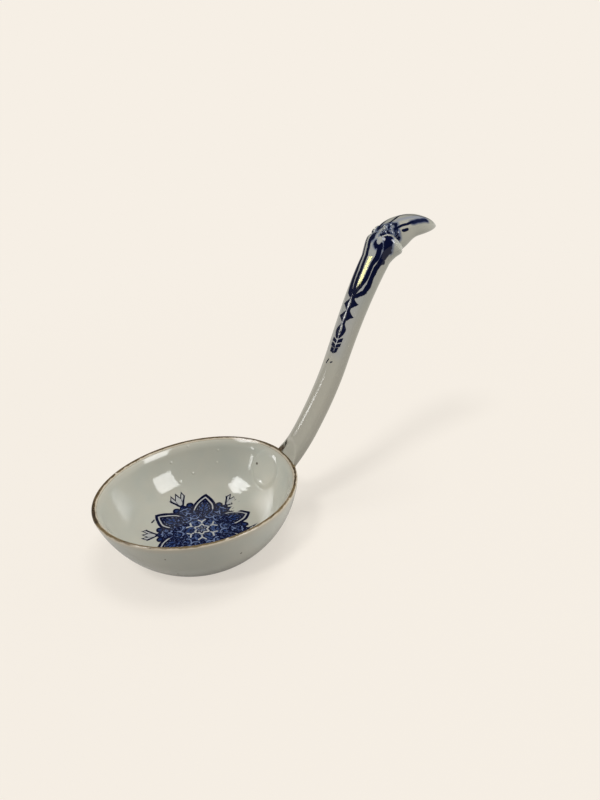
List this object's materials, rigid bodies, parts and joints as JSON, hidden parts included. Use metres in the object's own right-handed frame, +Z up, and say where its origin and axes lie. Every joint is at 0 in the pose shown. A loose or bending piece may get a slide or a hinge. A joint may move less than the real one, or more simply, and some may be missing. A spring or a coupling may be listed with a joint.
{
  "type": "porcelain ladle",
  "caption": "Small porcelain sauce ladle: a shallow round bowl on a flat base, with a rising, hooked handle and moulded relief round its neck.",
  "frame": {"origin": "centre of the bowl's flat base, on the surface it stands on", "axes": "+X from the bowl's centre towards the handle, +Z up"},
  "size_m": [0.1503, 0.0804, 0.1143],
  "materials": {
    "glaze": "glossy greyish white glaze",
    "rim_dressing": "worn brown edge under glaze",
    "slip": "glazed, stained brown in the crease",
    "cobalt": "cobalt blue under glossy glaze"
  },
  "bodies": {
    "root": {"bowl": "glaze", "rim_edge": "rim_dressing", "handle": "glaze", "slip_joint": "slip", "collar": "glaze", "flower_sprig": "cobalt", "left_scroll": "cobalt", "right_scroll": "cobalt"}
  },
  "joints": []
}
